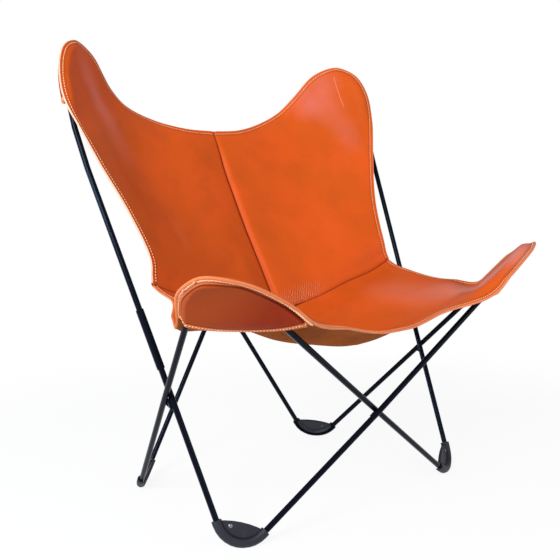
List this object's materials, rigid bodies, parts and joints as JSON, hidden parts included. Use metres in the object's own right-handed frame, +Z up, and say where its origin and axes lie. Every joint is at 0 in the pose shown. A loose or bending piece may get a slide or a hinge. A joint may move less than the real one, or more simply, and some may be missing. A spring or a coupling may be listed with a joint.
{
  "type": "butterfly sling chair",
  "caption": "Low lounge chair: a leather sling seat and back hung by its corner pockets on a frame of crossed, bent steel rod with plastic glides.",
  "frame": {"origin": "middle of the bounding box in X and Y, on the floor", "axes": "+Z up, -Y the way the sitter faces, +X to the sitter's left"},
  "size_m": [0.8822, 0.6216, 0.9054],
  "materials": {
    "frame": "satin black",
    "glides": "moulded, matt",
    "screws": "dark zinc",
    "leather": "thick saddle leather, light sheen",
    "suede": "rough flesh side"
  },
  "bodies": {
    "root": {"back_glide_left": "glides", "back_glide_right": "glides", "back_glide_screw_left": "screws", "back_glide_screw_right": "screws", "back_hoop_left": "frame", "back_hoop_right": "frame", "back_panel_left": "leather", "back_panel_right": "leather", "back_pocket_left": "leather", "back_pocket_right": "leather", "back_sleeve_left": "frame", "back_sleeve_right": "frame", "back_web": "frame", "centre_seam_strip": "suede", "front_glide_left": "glides", "front_glide_right": "glides", "front_glide_screw_left": "screws", "front_glide_screw_right": "screws", "front_pocket_left": "leather", "front_pocket_right": "leather", "front_web": "frame", "lower_rod_left": "frame", "lower_rod_right": "frame", "seat_panel": "leather", "seat_seam_strip_left": "suede", "seat_seam_strip_right": "suede", "side_sleeve_left": "frame", "side_sleeve_right": "frame", "side_web_left": "frame", "side_web_right": "frame"}
  },
  "joints": []
}
